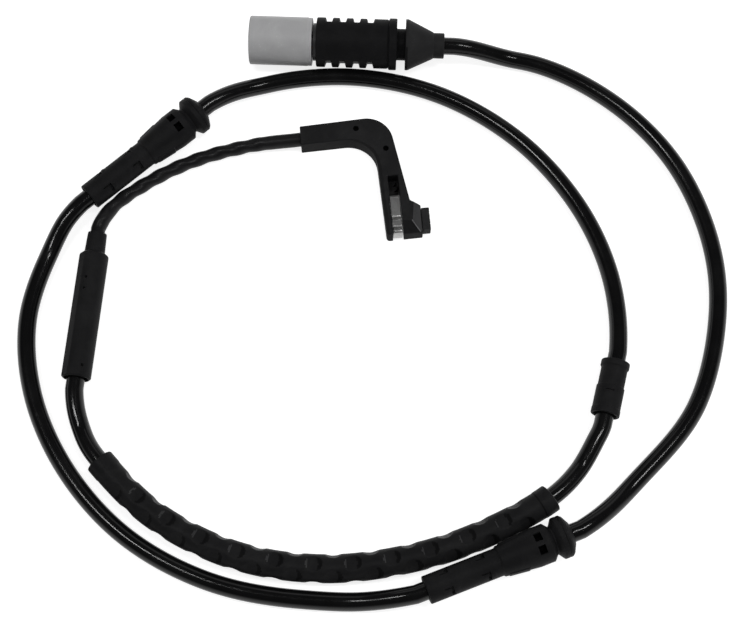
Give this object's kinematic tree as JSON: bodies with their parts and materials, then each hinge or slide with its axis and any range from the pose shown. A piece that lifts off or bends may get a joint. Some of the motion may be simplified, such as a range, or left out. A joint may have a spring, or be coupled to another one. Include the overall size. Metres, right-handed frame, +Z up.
{
  "type": "brake pad wear sensor",
  "caption": "Wired wear sensor with a flat angled clip-on head, a thin lead, a splice sleeve, a dimpled protective sleeve, bracket grommets and a round socket connector.",
  "frame": {"origin": "under the middle of the sensor head's box, on the plane that the whole sensor lies on", "axes": "+X across the head towards its wear tip, +Y along the head's legs away from their open end, +Z up from the surface"},
  "size_m": [0.2044, 0.1775, 0.0154],
  "materials": {
    "black_plastic": "fine moulded texture, satin",
    "black_rubber": "matte moulded rubber",
    "lead_sheath": "tight satin sheath over two twisted cores",
    "cable_jacket": "smooth glossy jacket",
    "grey_plastic": "satin moulded",
    "dark_grey_plastic": "satin moulded",
    "spring_steel": "bright rolled strip",
    "tinned_brass": "dull tinned",
    "core_light": "smooth core insulation",
    "core_dark": "smooth core insulation"
  },
  "bodies": {
    "root": {"sensor_body": "black_plastic", "wear_tip": "black_plastic", "wear_wire": "tinned_brass", "spring_clip": "spring_steel", "lead": "lead_sheath", "lead_core_1": "core_light", "lead_core_2": "core_dark", "splice_sleeve": "black_rubber", "splice_crimp_1": "tinned_brass", "splice_crimp_2": "tinned_brass", "cable_core_1": "core_light", "cable_core_2": "core_dark", "main_cable": "cable_jacket", "protective_sleeve": "black_rubber", "cable_bush": "black_rubber", "grommet_1": "black_rubber", "grommet_2": "black_rubber", "connector_boot": "black_rubber", "rear_cap": "dark_grey_plastic", "connector_shell": "grey_plastic", "seal_block": "black_rubber", "contact_carrier": "dark_grey_plastic", "contact_1": "tinned_brass", "contact_2": "tinned_brass", "connector_core_1": "core_light", "connector_core_2": "core_dark"}
  },
  "joints": []
}
